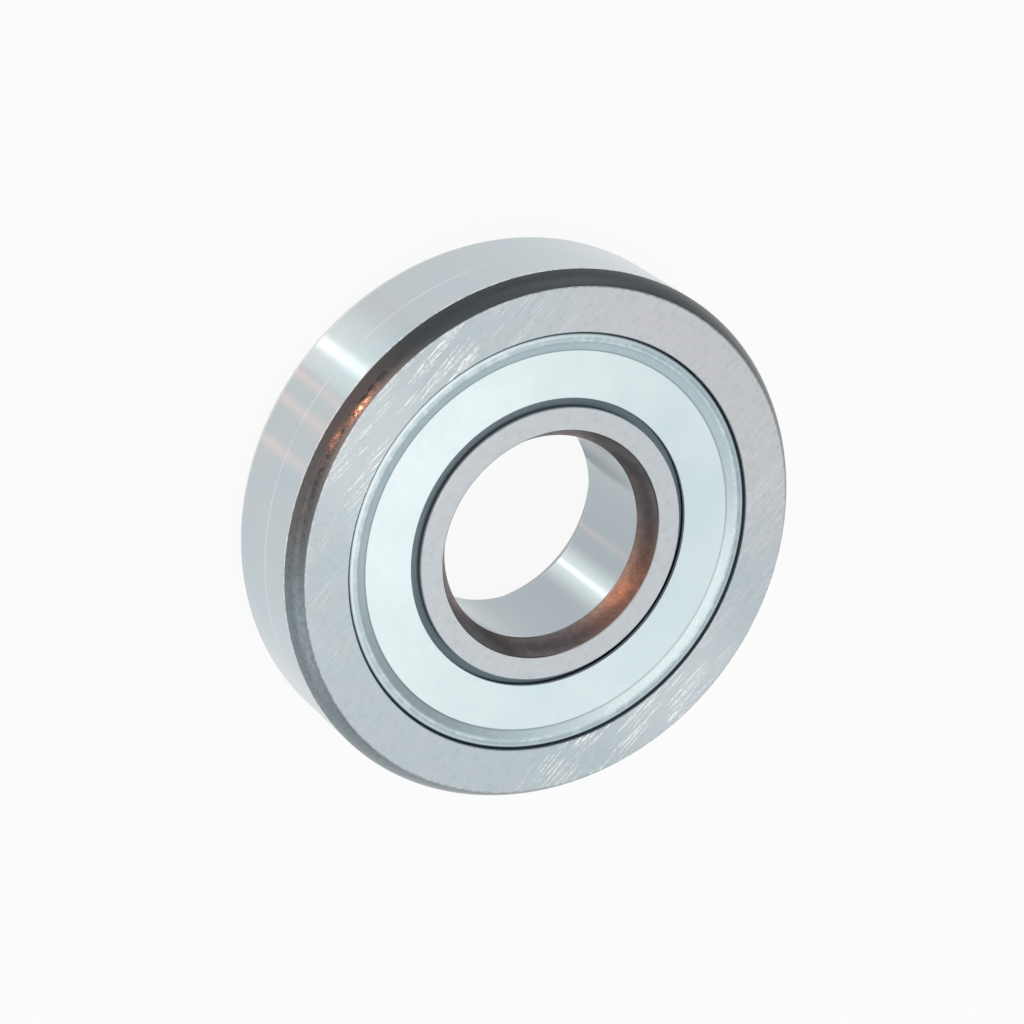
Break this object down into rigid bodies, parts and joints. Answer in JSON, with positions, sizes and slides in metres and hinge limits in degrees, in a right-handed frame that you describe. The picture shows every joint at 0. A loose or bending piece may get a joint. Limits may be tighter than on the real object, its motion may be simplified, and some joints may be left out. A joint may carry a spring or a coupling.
{
  "type": "guide roller",
  "caption": "Shielded ball-bearing guide roller: a thick ground outer ring runs on balls around a bored inner ring, with sheet shields rolled into both sides.",
  "frame": {"origin": "centre of the roller: on the bore's axis, halfway across the width", "axes": "+Z along the bore's axis, out of the front side face; the roller lies on its rear side face"},
  "size_m": [0.052, 0.052, 0.014],
  "materials": {
    "ring_steel": "ground bearing steel with dark unground corners",
    "shield_zinc": "zinc-plated pressed sheet",
    "cage_steel": "plain pressed sheet",
    "rivet_steel": "plain",
    "ball_steel": "polished bearing steel"
  },
  "bodies": {
    "inner_race": {"inner_ring": "ring_steel"},
    "outer_race": {"outer_ring": "ring_steel", "front_shield": "shield_zinc", "rear_shield": "shield_zinc"},
    "cage": {"cage_front": "cage_steel", "cage_rear": "cage_steel", "cage_rivets": "rivet_steel"},
    "ball_1_body": {"ball_1": "ball_steel"},
    "ball_2_body": {"ball_2": "ball_steel"},
    "ball_3_body": {"ball_3": "ball_steel"},
    "ball_4_body": {"ball_4": "ball_steel"},
    "ball_5_body": {"ball_5": "ball_steel"},
    "ball_6_body": {"ball_6": "ball_steel"},
    "ball_7_body": {"ball_7": "ball_steel"},
    "ball_8_body": {"ball_8": "ball_steel"}
  },
  "joints": [
    {"name": "roller_spin", "type": "hinge", "parent": "inner_race", "child": "outer_race", "pos_m": [0, 0, 0], "axis": [0, 0, 1], "continuous": true},
    {"name": "cage_spin", "type": "hinge", "parent": "inner_race", "child": "cage", "pos_m": [0, 0, 0], "axis": [0, 0, 1], "continuous": true},
    {"name": "ball_1_spin", "type": "hinge", "parent": "cage", "child": "ball_1_body", "pos_m": [0.01675, 0, 0], "axis": [0, 0, 1], "continuous": true},
    {"name": "ball_2_spin", "type": "hinge", "parent": "cage", "child": "ball_2_body", "pos_m": [0.01184, 0.01184, 0], "axis": [0, 0, 1], "continuous": true},
    {"name": "ball_3_spin", "type": "hinge", "parent": "cage", "child": "ball_3_body", "pos_m": [0, 0.01675, 0], "axis": [0, 0, 1], "continuous": true},
    {"name": "ball_4_spin", "type": "hinge", "parent": "cage", "child": "ball_4_body", "pos_m": [-0.01184, 0.01184, 0], "axis": [0, 0, 1], "continuous": true},
    {"name": "ball_5_spin", "type": "hinge", "parent": "cage", "child": "ball_5_body", "pos_m": [-0.01675, 0, 0], "axis": [0, 0, 1], "continuous": true},
    {"name": "ball_6_spin", "type": "hinge", "parent": "cage", "child": "ball_6_body", "pos_m": [-0.01184, -0.01184, 0], "axis": [0, 0, 1], "continuous": true},
    {"name": "ball_7_spin", "type": "hinge", "parent": "cage", "child": "ball_7_body", "pos_m": [0, -0.01675, 0], "axis": [0, 0, 1], "continuous": true},
    {"name": "ball_8_spin", "type": "hinge", "parent": "cage", "child": "ball_8_body", "pos_m": [0.01184, -0.01184, 0], "axis": [0, 0, 1], "continuous": true}
  ],
  "couplings": [
    {"joint": "cage_spin", "follows": "roller_spin", "ratio": 0.61851},
    {"joint": "ball_1_spin", "follows": "roller_spin", "ratio": 1.9911},
    {"joint": "ball_2_spin", "follows": "roller_spin", "ratio": 1.9911},
    {"joint": "ball_3_spin", "follows": "roller_spin", "ratio": 1.9911},
    {"joint": "ball_4_spin", "follows": "roller_spin", "ratio": 1.9911},
    {"joint": "ball_5_spin", "follows": "roller_spin", "ratio": 1.9911},
    {"joint": "ball_6_spin", "follows": "roller_spin", "ratio": 1.9911},
    {"joint": "ball_7_spin", "follows": "roller_spin", "ratio": 1.9911},
    {"joint": "ball_8_spin", "follows": "roller_spin", "ratio": 1.9911}
  ]
}
